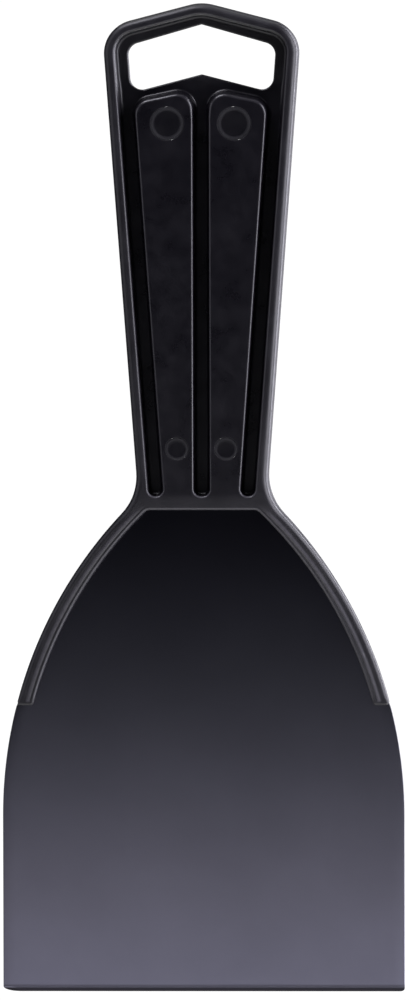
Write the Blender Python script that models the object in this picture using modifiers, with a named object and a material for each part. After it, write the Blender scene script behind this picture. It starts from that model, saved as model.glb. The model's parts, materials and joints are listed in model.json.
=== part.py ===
"""A flexible putty knife with a 3 in (76 mm) blade, hanging by the hole in its handle.

The front faces -Y, the width runs along X and +Z points up the handle. Every shape is drawn
on the knife itself, with Z measured up from the working edge and Y from the middle of the
blade. The empty "hang_point" then carries the whole knife down, so that the world's origin
is the top of the hang hole, where a nail or a hook would hold it.

The handle is two moulded halves with the steel tang between them, locked by four pins. The
blade bends in use: it is held stiff by the handle's arms down to FLEX_LINE and its free part
turns about that line.
"""

import math

import bmesh
import bpy

MM = 0.001
CLEARANCE = 0.3 * MM

# Blade
BLADE_WIDTH = 76.2 * MM
BLADE_THICKNESS = 0.6 * MM
EDGE_THICKNESS = 0.24 * MM
EDGE_BEVEL_HEIGHT = 1.05 * MM
EDGE_CORNER = 0.7 * MM
SHOULDER_RADIUS = 83.5 * MM
SHOULDER_START = 33.5 * MM
TANG_EDGE_SETBACK = 0.15 * MM
SHOULDER_TOP = 86.5 * MM
FLEX_LINE = 53.85 * MM

# Tang, hidden in the handle
TANG_HALF_WIDTH = 10.5 * MM
TANG_TIP_HALF_WIDTH = 7.5 * MM
TANG_ROOT = 93.0 * MM
TANG_NECK = 98.0 * MM
TANG_TOP = 156.0 * MM
TANG_CORNER = 3.0 * MM

# Handle outline
SIDE_AT_EDGE = 5.21 * MM
SIDE_SLOPE = 0.0746
ROOF_APEX = 187.6 * MM
ROOF_SLOPE = 0.26
ROOF_APEX_RADIUS = 9.0 * MM
SHOULDER_CORNER = 6.4 * MM
NECK_FILLET = 10.5 * MM
BAND_BOTTOM = 91.36 * MM
BAND_CORNER = 1.5 * MM
ARM_WIDTH = 3.1 * MM
ARM_END = 54.3 * MM
ARM_END_CORNER = 0.5 * MM

# Handle thickness, measured from the middle of the blade to one face
GRIP_HALF = 6.4 * MM
GRIP_CROWN = 0.5 * MM
GRIP_MIDDLE = 150.0 * MM
GRIP_REACH = 45.0 * MM
ARM_HALF_TOP = 2.4 * MM
ARM_HALF_END = 1.75 * MM
RAMP_BOTTOM = 67.0 * MM
RAMP_TOP = 95.0 * MM
WEB_HALF = 1.5 * MM
RIM_ROUNDING = 1.0 * MM
PARTING_GAP = CLEARANCE

# Recess, pads and hang hole
RIM_WIDTH = 2.16 * MM
PAD_SIDE_AT_EDGE = 0.55 * MM
PAD_SIDE_SLOPE = 0.0713
PAD_TOP = 171.35 * MM
PAD_TOP_SLOPE = 0.21
PAD_INNER_EDGE = 1.5 * MM
PAD_INNER_CORNER = 3.05 * MM
PAD_OUTER_CORNER = 2.9 * MM
RECESS_CORNER = 4.1 * MM
CHANNEL_BOTTOM = 94.15 * MM
CHANNEL_END_RADIUS = 1.35 * MM
HOLE_TOP = 183.3 * MM
HOLE_TOP_SLOPE = 0.287
HOLE_BOTTOM = 173.85 * MM
HOLE_BOTTOM_SLOPE = 0.26
HOLE_SIDE_AT_EDGE = 0.7 * MM
HOLE_CORNER = 2.3 * MM
HOLE_APEX_RADIUS = 0.5 * MM

# Pins: name, place along X and Z, radius
PIN_RECESS = 0.1 * MM
PIN_CHAMFER = 0.25 * MM
PINS = (
    ("pin_upper_left", -6.35 * MM, 164.6 * MM, 3.15 * MM),
    ("pin_upper_right", 6.35 * MM, 164.6 * MM, 3.15 * MM),
    ("pin_lower_left", -4.65 * MM, 103.1 * MM, 2.13 * MM),
    ("pin_lower_right", 4.65 * MM, 103.1 * MM, 2.13 * MM),
)

ARC_STEP = math.radians(16.0)
SHARP_ANGLE = math.radians(30.0)
SHOULDER_STEPS = 14
RAMP_STEPS = 12
GRIP_STEPS = 8
PIN_SIDES = 32
ROUNDING_STEPS = 1
OVERRUN = 5.0 * MM
WELD = 0.001 * MM
SHOULDER_CENTRE = (BLADE_WIDTH / 2 - SHOULDER_RADIUS, SHOULDER_START)


# ---------------------------------------------------------------- outlines

def line_meeting(slope_a, height_a, slope_b, offset_b):
    """Where z = height_a - slope_a * x meets x = offset_b + slope_b * z."""
    x = (offset_b + slope_b * height_a) / (1 + slope_a * slope_b)
    return x, height_a - slope_a * x


def handle_side(inset=0.0):
    """The offset of the handle's straight side, moved in by inset: x = offset + slope * z."""
    return SIDE_AT_EDGE - inset * math.hypot(1, SIDE_SLOPE)


def side_x(z, inset=0.0):
    return handle_side(inset) + SIDE_SLOPE * z


def shoulder_x(z, inset=0.0):
    """Half the width of the blade's curved shoulder at height z."""
    centre_x, centre_z = SHOULDER_CENTRE
    return centre_x + math.sqrt((SHOULDER_RADIUS - inset) ** 2 - (z - centre_z) ** 2)


def shoulder_arc(bottom, top, inset=0.0):
    """Points up the shoulder from one height to another."""
    centre_x, centre_z = SHOULDER_CENTRE
    radius = SHOULDER_RADIUS - inset
    first = math.asin((bottom - centre_z) / radius)
    last = math.asin((top - centre_z) / radius)
    angles = [first + (last - first) * i / SHOULDER_STEPS for i in range(SHOULDER_STEPS + 1)]
    return [(centre_x + radius * math.cos(a), centre_z + radius * math.sin(a)) for a in angles]


def neck_fillet():
    """The hollow curve from the arm's outer edge up to the handle's side, tangent to both."""
    centre_x, centre_z = SHOULDER_CENTRE
    reach = SHOULDER_RADIUS + NECK_FILLET
    offset = handle_side(-NECK_FILLET)
    a = 1 + SIDE_SLOPE ** 2
    b = SIDE_SLOPE * (offset - centre_x) - centre_z
    c = (offset - centre_x) ** 2 + centre_z ** 2 - reach ** 2
    z = (-b + math.sqrt(b * b - a * c)) / a
    x = offset + SIDE_SLOPE * z
    first = math.atan2(centre_z - z, centre_x - x) % math.tau
    last = math.pi - math.atan(SIDE_SLOPE)
    steps = math.ceil(abs(first - last) / ARC_STEP)
    angles = [first + (last - first) * i / steps for i in range(steps + 1)]
    return [(x + NECK_FILLET * math.cos(t), z + NECK_FILLET * math.sin(t)) for t in angles]


def rounded(corners):
    """An outline from (x, z, radius) corners, each turned by an arc of its radius."""
    points = []
    for i, (x, z, radius) in enumerate(corners):
        if not radius:
            points.append((x, z))
            continue
        before, after = corners[i - 1], corners[(i + 1) % len(corners)]
        to_before = math.atan2(before[1] - z, before[0] - x)
        to_after = math.atan2(after[1] - z, after[0] - x)
        opening = (to_after - to_before + math.pi) % math.tau - math.pi
        half = abs(opening) / 2
        middle = to_before + opening / 2
        reach = radius / math.sin(half)
        centre_x = x + reach * math.cos(middle)
        centre_z = z + reach * math.sin(middle)
        turn = math.copysign(math.pi - abs(opening), opening)
        first = middle + math.pi + turn / 2
        steps = max(2, math.ceil(abs(turn) / ARC_STEP))
        for step in range(steps + 1):
            angle = first - turn * step / steps
            points.append((centre_x + radius * math.cos(angle), centre_z + radius * math.sin(angle)))
    return points


def both_sides(right):
    """Corners given up the right side, closed by the same corners down the left."""
    left = [(-corner[0], *corner[1:]) for corner in reversed(right)]
    left = [corner for corner in left if abs(corner[0]) > WELD]
    return list(right) + left


def handle_outline():
    corner = line_meeting(ROOF_SLOPE, ROOF_APEX, SIDE_SLOPE, handle_side())
    inner_bottom = (shoulder_x(ARM_END, ARM_WIDTH), ARM_END)
    outer_bottom = (shoulder_x(ARM_END), ARM_END)
    band_end = (shoulder_x(BAND_BOTTOM, ARM_WIDTH), BAND_BOTTOM)
    neck = neck_fillet()
    inner_arc = shoulder_arc(ARM_END, BAND_BOTTOM, ARM_WIDTH)[1:-1]
    outer_arc = shoulder_arc(ARM_END, neck[0][1])[1:-1]
    right = [(*band_end, BAND_CORNER)]
    right += [(x, z, 0) for x, z in reversed(inner_arc)]
    right += [(*inner_bottom, ARM_END_CORNER), (*outer_bottom, ARM_END_CORNER)]
    right += [(x, z, 0) for x, z in outer_arc + neck]
    right += [(*corner, SHOULDER_CORNER), (0, ROOF_APEX, ROOF_APEX_RADIUS)]
    return rounded(both_sides(right))


def recess_outline():
    """The sunk area round the hang hole, with its three channels down between rim and pads."""
    offset = handle_side(RIM_WIDTH)
    roof = ROOF_APEX - RIM_WIDTH * math.hypot(1, ROOF_SLOPE)
    corner = line_meeting(ROOF_SLOPE, roof, SIDE_SLOPE, offset)
    pad_corner = line_meeting(PAD_TOP_SLOPE, PAD_TOP, PAD_SIDE_SLOPE, PAD_SIDE_AT_EDGE)
    pad_foot = PAD_SIDE_AT_EDGE + PAD_SIDE_SLOPE * CHANNEL_BOTTOM
    right = [
        (PAD_INNER_EDGE, CHANNEL_BOTTOM, CHANNEL_END_RADIUS),
        (PAD_INNER_EDGE, PAD_TOP - PAD_TOP_SLOPE * PAD_INNER_EDGE, PAD_INNER_CORNER),
        (*pad_corner, PAD_OUTER_CORNER),
        (pad_foot, CHANNEL_BOTTOM, CHANNEL_END_RADIUS),
        (side_x(CHANNEL_BOTTOM, RIM_WIDTH), CHANNEL_BOTTOM, CHANNEL_END_RADIUS),
        (*corner, RECESS_CORNER),
        (0, roof, ROOF_APEX_RADIUS - RIM_WIDTH),
    ]
    return rounded(both_sides(right))


def hole_outline():
    right = [
        (0, HOLE_BOTTOM, HOLE_APEX_RADIUS),
        (*line_meeting(HOLE_BOTTOM_SLOPE, HOLE_BOTTOM, SIDE_SLOPE, HOLE_SIDE_AT_EDGE), HOLE_CORNER),
        (*line_meeting(HOLE_TOP_SLOPE, HOLE_TOP, SIDE_SLOPE, HOLE_SIDE_AT_EDGE), HOLE_CORNER),
        (0, HOLE_TOP, HOLE_APEX_RADIUS),
    ]
    return rounded(both_sides(right))


def tang_outline():
    """The part of the blade that the handle holds: shoulders under the arms, then the tang."""
    shoulders = shoulder_arc(FLEX_LINE + CLEARANCE / 2, SHOULDER_TOP, TANG_EDGE_SETBACK)
    right = [(x, z, 0) for x, z in shoulders]
    right += [
        (TANG_HALF_WIDTH, TANG_ROOT, 0),
        (TANG_HALF_WIDTH, TANG_NECK, 0),
        (TANG_TIP_HALF_WIDTH, TANG_TOP, TANG_CORNER),
    ]
    return rounded(both_sides(right))


def free_blade_outline():
    top = FLEX_LINE - CLEARANCE / 2
    right = [(BLADE_WIDTH / 2, 0, EDGE_CORNER)]
    right += [(x, z, 0) for x, z in shoulder_arc(SHOULDER_START, top)]
    return rounded(both_sides(right))


# ---------------------------------------------------------------- side profiles

def smooth_rise(value, low, high):
    share = min(1.0, max(0.0, (value - low) / (high - low)))
    return share * share * (3 - 2 * share)


def half_thickness(z):
    """From the middle of the blade to the handle's face at height z."""
    arm_share = min(1.0, max(0.0, (z - ARM_END) / (RAMP_BOTTOM - ARM_END)))
    arm = ARM_HALF_END + (ARM_HALF_TOP - ARM_HALF_END) * arm_share
    grip = GRIP_HALF - GRIP_CROWN * ((z - GRIP_MIDDLE) / GRIP_REACH) ** 2
    return arm + (grip - arm) * smooth_rise(z, RAMP_BOTTOM, RAMP_TOP)


def shell_profile(side):
    """One half of the handle from the side, as (y, z) points. side is -1 in front, 1 behind."""
    low, high = ARM_END - OVERRUN, ROOF_APEX + OVERRUN
    ramp, grip = (RAMP_TOP - RAMP_BOTTOM) / RAMP_STEPS, (ROOF_APEX - RAMP_TOP) / GRIP_STEPS
    heights = [low]
    heights += [RAMP_BOTTOM + ramp * i for i in range(RAMP_STEPS)]
    heights += [RAMP_TOP + grip * i for i in range(GRIP_STEPS)]
    heights.append(high)
    face = [(side * half_thickness(z), z) for z in heights]
    middle = side * PARTING_GAP / 2
    return [(middle, low), *face, (middle, high)]


def edge_profile():
    """The free blade from the side: parallel faces, ground thin at the working edge."""
    thick, thin = BLADE_THICKNESS / 2, EDGE_THICKNESS / 2
    top = FLEX_LINE + OVERRUN
    right = [(thin, 0), (thick, EDGE_BEVEL_HEIGHT), (thick, top)]
    return right + [(-y, z) for y, z in reversed(right)]


# ---------------------------------------------------------------- solids

def clear_scene():
    for found in list(bpy.data.objects):
        bpy.data.objects.remove(found, do_unlink=True)


def new_collection(name):
    made = bpy.data.collections.new(name)
    bpy.context.scene.collection.children.link(made)
    return made


def new_material(name, colour, roughness, metallic):
    made = bpy.data.materials.new(name)
    made.use_nodes = True
    made.diffuse_color = (*colour, 1)
    shader = made.node_tree.nodes["Principled BSDF"]
    shader.inputs["Base Color"].default_value = (*colour, 1)
    shader.inputs["Roughness"].default_value = roughness
    shader.inputs["Metallic"].default_value = metallic
    return made


def mesh_object(name, curve_object, collection, parent):
    """The solid that a curve object encloses, with its caps welded to its sides."""
    bpy.context.scene.collection.objects.link(curve_object)
    bpy.context.view_layer.update()
    evaluated = curve_object.evaluated_get(bpy.context.evaluated_depsgraph_get())
    mesh = bpy.data.meshes.new_from_object(evaluated)
    mesh.name = name
    work = bmesh.new()
    work.from_mesh(mesh)
    bmesh.ops.remove_doubles(work, verts=work.verts, dist=WELD)
    bmesh.ops.recalc_face_normals(work, faces=work.faces)
    work.to_mesh(mesh)
    work.free()
    made = bpy.data.objects.new(name, mesh)
    made.matrix_world = curve_object.matrix_world.copy()
    collection.objects.link(made)
    made.parent = parent
    curve = curve_object.data
    bpy.data.objects.remove(curve_object)
    bpy.data.curves.remove(curve)
    return made


def flat_curve(name, outline, thickness, grow=0.0, rounding=0.0):
    curve = bpy.data.curves.new(f"{name}_curve", "CURVE")
    curve.dimensions = "2D"
    curve.fill_mode = "BOTH"
    curve.extrude = thickness / 2 - rounding
    curve.bevel_depth = rounding
    curve.bevel_resolution = ROUNDING_STEPS
    curve.offset = grow - rounding
    spline = curve.splines.new("POLY")
    spline.points.add(len(outline) - 1)
    for point, (across, up) in zip(spline.points, outline):
        point.co = (across, up, 0, 1)
    spline.use_cyclic_u = True
    return bpy.data.objects.new(f"{name}_curve", curve)


def plate(name, outline, near, far, where, grow=0.0, rounding=0.0):
    """A solid with an (x, z) outline, from y = near to y = far."""
    shape = flat_curve(name, outline, abs(far - near), grow, rounding)
    shape.rotation_euler.x = math.radians(90)
    shape.location.y = (near + far) / 2
    return mesh_object(name, shape, *where)


def bar(name, profile, half_width, where):
    """A solid with a (y, z) outline, running across X."""
    shape = flat_curve(name, profile, 2 * half_width)
    shape.rotation_euler = (math.radians(90), 0, math.radians(90))
    return mesh_object(name, shape, *where)


def round_rod(name, x, z, radius, half_length, where):
    """A cylinder along Y."""
    collection, parent = where
    mesh = bpy.data.meshes.new(name)
    work = bmesh.new()
    bmesh.ops.create_cone(
        work, cap_ends=True, segments=PIN_SIDES, radius1=radius, radius2=radius, depth=2 * half_length
    )
    work.to_mesh(mesh)
    work.free()
    made = bpy.data.objects.new(name, mesh)
    made.rotation_euler.x = math.radians(90)
    made.location = (x, 0, z)
    made.parent = parent
    collection.objects.link(made)
    return made


def combine(target, other, operation):
    other.hide_render = True
    other.display_type = "WIRE"
    step = target.modifiers.new(f"{operation.lower()} {other.name}", "BOOLEAN")
    step.operation = operation
    step.solver = "EXACT"
    step.object = other


def finish(made, material):
    made.data.materials.clear()
    made.data.materials.append(material)
    made.data.shade_smooth()
    made.data.set_sharp_from_angle(angle=SHARP_ANGLE)


# ---------------------------------------------------------------- sub-parts

def handle_half(name, side, material, parts, cutters):
    """One moulded half: rim, pads, band and arms over a thin web, open for tang and pins."""
    shell = plate(
        name, handle_outline(), -GRIP_HALF, GRIP_HALF, parts, rounding=RIM_ROUNDING
    )
    face = side * (GRIP_HALF + OVERRUN)
    combine(shell, bar(f"{name}_profile", shell_profile(side), BLADE_WIDTH, cutters), "INTERSECT")
    recess = plate(f"{name}_recess", recess_outline(), side * WEB_HALF, face, cutters)
    combine(shell, recess, "DIFFERENCE")
    hole = plate(f"{name}_hole", hole_outline(), -GRIP_HALF, GRIP_HALF, cutters)
    combine(shell, hole, "DIFFERENCE")
    pocket_half = BLADE_THICKNESS / 2 + CLEARANCE
    pocket = plate(
        f"{name}_pocket", tang_outline(), -pocket_half, pocket_half, cutters, grow=CLEARANCE
    )
    combine(shell, pocket, "DIFFERENCE")
    for pin, x, z, radius in PINS:
        bore = round_rod(f"{name}_{pin}_bore", x, z, radius + CLEARANCE, 2 * GRIP_HALF, cutters)
        combine(shell, bore, "DIFFERENCE")
    finish(shell, material)
    return shell


def blade_tang(material, parts, cutters):
    half = BLADE_THICKNESS / 2
    tang = plate("blade_tang", tang_outline(), -half, half, parts)
    for pin, x, z, radius in PINS:
        if z < TANG_TOP:
            bore = round_rod(f"tang_{pin}_bore", x, z, radius + CLEARANCE, GRIP_HALF, cutters)
            combine(tang, bore, "DIFFERENCE")
    finish(tang, material)
    return tang


def free_blade(material, parts, cutters):
    """The part that bends: its joint's axis is FLEX_LINE, where its parent empty stands."""
    blade = plate("blade", free_blade_outline(), -BLADE_THICKNESS, BLADE_THICKNESS, parts)
    combine(blade, bar("blade_profile", edge_profile(), BLADE_WIDTH, cutters), "INTERSECT")
    finish(blade, material)
    return blade


def pin(name, x, z, radius, material, parts):
    made = round_rod(name, x, z, radius, half_thickness(z) - PIN_RECESS, parts)
    chamfer = made.modifiers.new("chamfer", "BEVEL")
    chamfer.width = PIN_CHAMFER
    chamfer.segments = 1
    chamfer.limit_method = "ANGLE"
    finish(made, material)
    return made


def empty_at(name, height, collection, parent=None):
    made = bpy.data.objects.new(name, None)
    made.empty_display_size = 10 * MM
    made.location.z = height
    made.parent = parent
    collection.objects.link(made)
    return made


def main():
    clear_scene()
    knife = new_collection("putty_knife")
    helpers = new_collection("cutters")
    hang_point = empty_at("hang_point", -HOLE_TOP, knife)
    flex_axis = empty_at("flex_axis", FLEX_LINE, knife, hang_point)
    parts, cutters = (knife, hang_point), (helpers, hang_point)

    plastic = new_material("handle_plastic", (0.0095, 0.009, 0.0115), 0.5, 0.0)
    pin_plastic = new_material("pin_plastic", (0.0105, 0.010, 0.0125), 0.45, 0.0)
    steel = new_material("blade_steel", (0.085, 0.085, 0.115), 0.38, 0.75)
    tang_steel = new_material("tang_steel", (0.02, 0.02, 0.028), 0.45, 0.75)

    handle_half("handle_front", -1, plastic, parts, cutters)
    handle_half("handle_rear", 1, plastic, parts, cutters)
    blade_tang(tang_steel, parts, cutters)
    blade = free_blade(steel, parts, cutters)
    blade.parent = flex_axis
    blade.location.z -= FLEX_LINE
    for name, x, z, radius in PINS:
        pin(name, x, z, radius, pin_plastic, parts)


main()
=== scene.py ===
import json
import math

import bmesh
import bpy
import numpy as np
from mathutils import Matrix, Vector, geometry, kdtree


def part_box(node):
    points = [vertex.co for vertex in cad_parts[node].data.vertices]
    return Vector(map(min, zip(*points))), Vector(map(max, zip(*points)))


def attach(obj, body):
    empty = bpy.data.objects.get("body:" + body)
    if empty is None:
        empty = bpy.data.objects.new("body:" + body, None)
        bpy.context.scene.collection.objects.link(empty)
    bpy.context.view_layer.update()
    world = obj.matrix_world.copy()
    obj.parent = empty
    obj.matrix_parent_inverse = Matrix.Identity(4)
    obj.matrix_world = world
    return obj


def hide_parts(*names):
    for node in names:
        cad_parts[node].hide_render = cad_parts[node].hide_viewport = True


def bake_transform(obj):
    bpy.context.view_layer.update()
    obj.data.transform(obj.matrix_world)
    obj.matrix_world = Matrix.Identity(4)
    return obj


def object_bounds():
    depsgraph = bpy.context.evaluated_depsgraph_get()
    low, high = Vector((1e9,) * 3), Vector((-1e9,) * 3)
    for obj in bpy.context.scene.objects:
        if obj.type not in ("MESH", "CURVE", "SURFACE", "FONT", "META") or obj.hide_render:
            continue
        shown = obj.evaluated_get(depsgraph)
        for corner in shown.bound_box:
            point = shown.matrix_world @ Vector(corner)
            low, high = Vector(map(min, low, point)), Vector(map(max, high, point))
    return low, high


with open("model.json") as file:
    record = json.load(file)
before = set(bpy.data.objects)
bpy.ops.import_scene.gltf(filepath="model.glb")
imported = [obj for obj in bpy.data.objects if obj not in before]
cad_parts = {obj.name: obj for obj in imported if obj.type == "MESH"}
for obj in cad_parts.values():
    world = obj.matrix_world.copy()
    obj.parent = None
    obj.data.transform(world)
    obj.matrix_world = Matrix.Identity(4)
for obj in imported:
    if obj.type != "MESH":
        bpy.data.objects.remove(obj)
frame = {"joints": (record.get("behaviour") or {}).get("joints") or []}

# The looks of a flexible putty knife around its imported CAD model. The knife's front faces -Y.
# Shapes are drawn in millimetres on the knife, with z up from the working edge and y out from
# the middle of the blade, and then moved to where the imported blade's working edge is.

CAD_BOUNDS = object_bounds()
MM = 0.001
BLADE_LOW, BLADE_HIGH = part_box("blade")
SHELL_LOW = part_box("handle_front")[0]
EDGE_Z = BLADE_LOW.z
FLEX_JOINT = next(joint for joint in frame["joints"] if joint["name"] == "blade_flex")

# Blade, in millimetres
BLADE_HALF_WIDTH = BLADE_HIGH.x / MM
BLADE_HALF = (BLADE_HIGH.y - BLADE_LOW.y) / 2 / MM
SHOULDER_RADIUS = 83.5
SHOULDER_START = 33.5
SHOULDER_CENTRE = (BLADE_HALF_WIDTH - SHOULDER_RADIUS, SHOULDER_START)
TANG_EDGE_SETBACK = 0.15
SHOULDER_TOP = 86.5
FLEX_LINE = (FLEX_JOINT["pos_m"][2] - EDGE_Z) / MM
TANG_HALF_WIDTH = 10.5
TANG_TIP_HALF_WIDTH = 7.5
TANG_ROOT = 93.0
TANG_NECK = 98.0
TANG_TOP = 156.0
TANG_CORNER = 3.0
EDGE_BEVEL_HEIGHT = 1.05
EDGE_BEVEL_CURVE = 1.8
EDGE_HALF = 0.12
BLADE_EASE = 0.07
THIN_EASE_SHARE = 0.6
SETBACK_RUN = 0.6
DRILL_GAP = 0.1
DRILL_DEPTH = 4.0

# (height, width) of the blade's rounded lower corners, and the rows and columns of its mesh
LEFT_CORNER = (0.95, 3.2)
RIGHT_CORNER = (0.6, 0.8)
EDGE_ROWS = (0, 0.05, 0.12, 0.22, 0.35, 0.5, 0.65, 0.8, 0.92, 1.0, 1.06, 1.12, 1.25, 1.6, 2.2, 3.0)
BODY_START = 4.2
BODY_STEP = 1.5
SHOULDER_STEP = 1.2
TANG_STEP = 4.0
TAPER_ROW = 89.7
TIP_ROWS = 8
KINK = 0.1
BLADE_COLUMNS = 33
SIDE_POINTS = 4
EASE_TURN = 0.3

# Handle outline
SIDE_AT_EDGE = 5.21
SIDE_SLOPE = 0.0746
ROOF_APEX = 187.6
ROOF_SLOPE = 0.26
ROOF_APEX_RADIUS = 9.0
SHOULDER_CORNER = 6.4
NECK_FILLET = 10.5
BAND_BOTTOM = 91.36
BAND_CORNER = 1.5
ARM_WIDTH = 3.1
ARM_END = (SHELL_LOW.z - EDGE_Z) / MM
ARM_END_CORNER = 0.7

# Handle thickness, from the middle of the blade to one face
GRIP_HALF = -SHELL_LOW.y / MM
GRIP_CROWN = 0.5
GRIP_MIDDLE = 150.0
GRIP_REACH = 45.0
ARM_HALF_TOP = 2.4
ARM_HALF_END = 1.75
RAMP_BOTTOM = 67.0
RAMP_TOP = 95.0
WEB_HALF = 1.5
BACK_HALF = 0.36
ARM_SEAT = 0.31
PARTING_HALF = 0.03

# Recess, pads, hang hole and pins
RIM_WIDTH = 2.16
PAD_SIDE_AT_EDGE = 0.55
PAD_SIDE_SLOPE = 0.0713
PAD_TOP = 171.35
PAD_TOP_SLOPE = 0.21
PAD_INNER_EDGE = 1.5
PAD_INNER_CORNER = 3.05
PAD_OUTER_CORNER = 2.9
RECESS_CORNER = 4.1
CHANNEL_BOTTOM = 94.15
CHANNEL_END_RADIUS = 1.35
HOLE_TOP = 183.3
HOLE_TOP_SLOPE = 0.287
HOLE_BOTTOM = 173.85
HOLE_BOTTOM_SLOPE = 0.26
HOLE_SIDE_AT_EDGE = 0.7
HOLE_CORNER = 2.3
HOLE_APEX_RADIUS = 0.5
PIN_NODES = ("pin_upper_left", "pin_upper_right", "pin_lower_left", "pin_lower_right")

# Edges of the moulding
OUTER_ROUNDING = 1.2
ARM_ROUNDING = 0.95
INNER_ROUNDING = 0.5
END_ROUNDING = 0.45
RECESS_ROUNDING = 0.45
PAD_TOP_EXTRA_ROUNDING = 0.3
HOLE_ROUNDING = 0.3
WEB_FILLET = 0.55
DRAFT = math.tan(math.radians(1.5))
RECESS_DRAFT = 1.4 * DRAFT
PAD_TOP_LEAN = 0.15
RING_STEP = 0.09
FACE_STEP = 0.03
WALL_STEP = 0.08
RECESS_WALL_STEP = 0.1
RECESS_WALL_LEAN = 0.01
WALL_DRAFT_SHARE = 0.9
BACK_STEP = 0.02
SEAT_EASE = 0.1
HOLE_LIP = 0.4
ARM_LIP = 0.5
GRIP_LIP = 1.2

# Heights between which the arm's outer edge turns into the grip's
NECK_SEAT = (86.0, 89.5)
NECK_ROUNDING = (87.0, 93.0)
NECK_LIP = (88.0, 95.0)
INNER_EDGE_TOP = BAND_BOTTOM + 0.6
END_WALL_TOP = ARM_END + 0.35
END_ROUNDING_TOP = ARM_END + 2.2

# Ranges over which the pads' tops lean back and round off more, and the channels' ends carry more painted
# highlight
PAD_LEAN_RISE = (PAD_TOP - 11, PAD_TOP - 3)
PAD_ROUND_RISE = (PAD_TOP - 6, PAD_TOP - 3)
PAD_TOP_FALL = (PAD_TOP, PAD_TOP + 2)
PAD_FROM_SIDE = (RIM_WIDTH + 0.5, RIM_WIDTH + 1.5)
CHANNEL_END = (CHANNEL_BOTTOM, CHANNEL_BOTTOM + 1.4)

# Pins and their bores. Rings are (beyond the pin's radius, below the face), and the dish is
# (in from the rim, above the rim)
BORE_GAP = 0.05
BORE_RINGS = ((0.22, 0.0), (0.08, 0.0), (0.065, 0.002), (0.055, 0.01), (BORE_GAP, 0.03))
BORE_RIM = (0.1, 0.22)
PIN_SINK = 0.05
PIN_RIM = 0.03
PIN_DISH = ((1.0, -0.07), (0.75, -0.06), (0.5, -0.03), (0.3, 0.0))

# Each arm's face across its width, from its inner edge: a crease, a ridge and a lower strip
CREASE = 0.8
CREASE_REACH = 0.14
CREASE_DEPTH = 0.09
RIDGE_EDGE = 1.2
STRIP_EDGE = 1.8
STRIP_DROP = 0.2
RIDGE_MARGIN = 0.1
RIDGE_FADE = (89.8, 92.6)
BAND_FADE = (93.2, 94.8)
ARM_GUIDES = (0.72, 0.8, 0.88, 1.0, RIDGE_EDGE, 1.35, 1.5, STRIP_EDGE)

ARC_STEP = math.radians(5.0)
LINE_STEP = 1.1
FILL_STEP = 0.75
GUIDE_MARGIN = 0.05
GRID_CLEAR = 0.62
# Strengths of the painted highlight on edges, along the arms' ridges and round the recess
EDGE_HIGHLIGHT = 0.65
RIDGE_HIGHLIGHT = 0.75
CHANNEL_HIGHLIGHT = 0.2
ROUND_STEPS = 5
OUTER_ROUND_STEPS = 7
FILLET_STEPS = 4
PIN_SIDES = 72
TRIANGLES_INSIDE = 1

# Studio, in metres
FLOOR_REACH = 0.8
FLOOR_GAP = 0.25
ROOM_LIGHT = 0.035
CAMERA_AZIMUTH = math.radians(2.5)
CAMERA_ELEVATION = math.radians(2.0)
CAMERA_ROLL = math.radians(-0.14)
CAMERA_DISTANCE = 2.6
CAMERA_FIELD = 0.18948
CAMERA_SHIFT = (0.0016, -0.0022)


# ---------------------------------------------------------------- outlines

def line_meeting(slope_a, height_a, slope_b, offset_b):
    """Where z = height_a - slope_a * x meets x = offset_b + slope_b * z."""
    x = (offset_b + slope_b * height_a) / (1 + slope_a * slope_b)
    return x, height_a - slope_a * x


def handle_side(inset=0.0):
    """Half the handle's width where its sides, carried on down, would meet the working edge."""
    return SIDE_AT_EDGE - inset * math.hypot(1, SIDE_SLOPE)


def side_x(z, inset=0.0):
    return handle_side(inset) + SIDE_SLOPE * z


def shoulder_x(z, inset=0.0):
    """Half the width of the blade's curved shoulder at height z."""
    centre_x, centre_z = SHOULDER_CENTRE
    return centre_x + math.sqrt((SHOULDER_RADIUS - inset) ** 2 - (z - centre_z) ** 2)


def arc_points(centre, radius, first, last, step=ARC_STEP):
    steps = max(2, math.ceil(abs(last - first) / step))
    angles = [first + (last - first) * i / steps for i in range(steps + 1)]
    return [(centre[0] + radius * math.cos(a), centre[1] + radius * math.sin(a)) for a in angles]


def shoulder_arc(bottom, top, inset=0.0):
    radius = SHOULDER_RADIUS - inset
    first = math.asin((bottom - SHOULDER_START) / radius)
    last = math.asin((top - SHOULDER_START) / radius)
    return arc_points(SHOULDER_CENTRE, radius, first, last, LINE_STEP / SHOULDER_RADIUS)


def neck_fillet():
    """The hollow curve from the arm's outer edge up to the handle's side, tangent to both."""
    centre_x, centre_z = SHOULDER_CENTRE
    reach = SHOULDER_RADIUS + NECK_FILLET
    offset = handle_side(-NECK_FILLET)
    a = 1 + SIDE_SLOPE ** 2
    b = SIDE_SLOPE * (offset - centre_x) - centre_z
    c = (offset - centre_x) ** 2 + centre_z ** 2 - reach ** 2
    z = (-b + math.sqrt(b * b - a * c)) / a
    x = offset + SIDE_SLOPE * z
    first = math.atan2(centre_z - z, centre_x - x) % math.tau
    return arc_points((x, z), NECK_FILLET, first, math.pi - math.atan(SIDE_SLOPE))


def rounded(corners):
    """An outline from (x, z, radius) corners, each turned by an arc of its radius."""
    points = []
    for i, (x, z, radius) in enumerate(corners):
        if not radius:
            points.append((x, z))
            continue
        before, after = corners[i - 1], corners[(i + 1) % len(corners)]
        to_before = math.atan2(before[1] - z, before[0] - x)
        to_after = math.atan2(after[1] - z, after[0] - x)
        opening = (to_after - to_before + math.pi) % math.tau - math.pi
        reach = radius / math.sin(abs(opening) / 2)
        middle = to_before + opening / 2
        centre = (x + reach * math.cos(middle), z + reach * math.sin(middle))
        turn = math.copysign(math.pi - abs(opening), opening)
        first = middle + math.pi + turn / 2
        points += arc_points(centre, radius, first, first - turn)
    return points


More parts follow.
